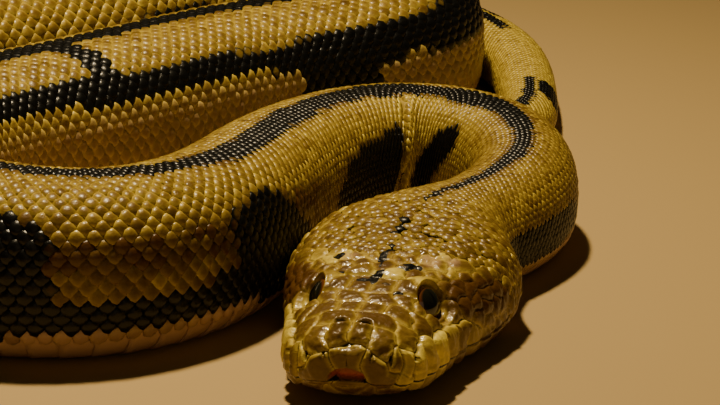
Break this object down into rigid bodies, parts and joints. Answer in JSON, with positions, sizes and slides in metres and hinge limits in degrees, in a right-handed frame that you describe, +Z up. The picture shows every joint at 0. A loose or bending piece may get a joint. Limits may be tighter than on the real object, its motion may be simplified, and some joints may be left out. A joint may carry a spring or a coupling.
{
  "type": "coiled reticulated python, life-size still model",
  "caption": "Life-size still model of a reticulated python resting on the floor in flat nested loops, head in front, chin just clear of the floor.",
  "frame": {"origin": "middle of the bounding box at floor level", "axes": "+Z up from the floor; the head points towards -Y; the animal's own left side of the head is towards +X"},
  "size_m": [0.516, 0.6455, 0.069],
  "materials": {
    "scaled_skin": "scaled skin with a soft sheen: golden olive ground, thin black line along the back, black blotches on the flanks and a pale belly",
    "eye": "dark glossy eye under a clear fixed scale"
  },
  "bodies": {
    "root": {"head": "scaled_skin", "lower_jaw": "scaled_skin", "neck": "scaled_skin", "trunk_1": "scaled_skin", "trunk_2": "scaled_skin", "trunk_3": "scaled_skin", "trunk_4": "scaled_skin", "trunk_5": "scaled_skin", "trunk_6": "scaled_skin", "trunk_7": "scaled_skin", "trunk_8": "scaled_skin", "trunk_9": "scaled_skin", "trunk_10": "scaled_skin", "trunk_11": "scaled_skin", "trunk_12": "scaled_skin", "tail_1": "scaled_skin", "tail_2": "scaled_skin", "eye_left": "eye", "eye_right": "eye"}
  },
  "joints": []
}
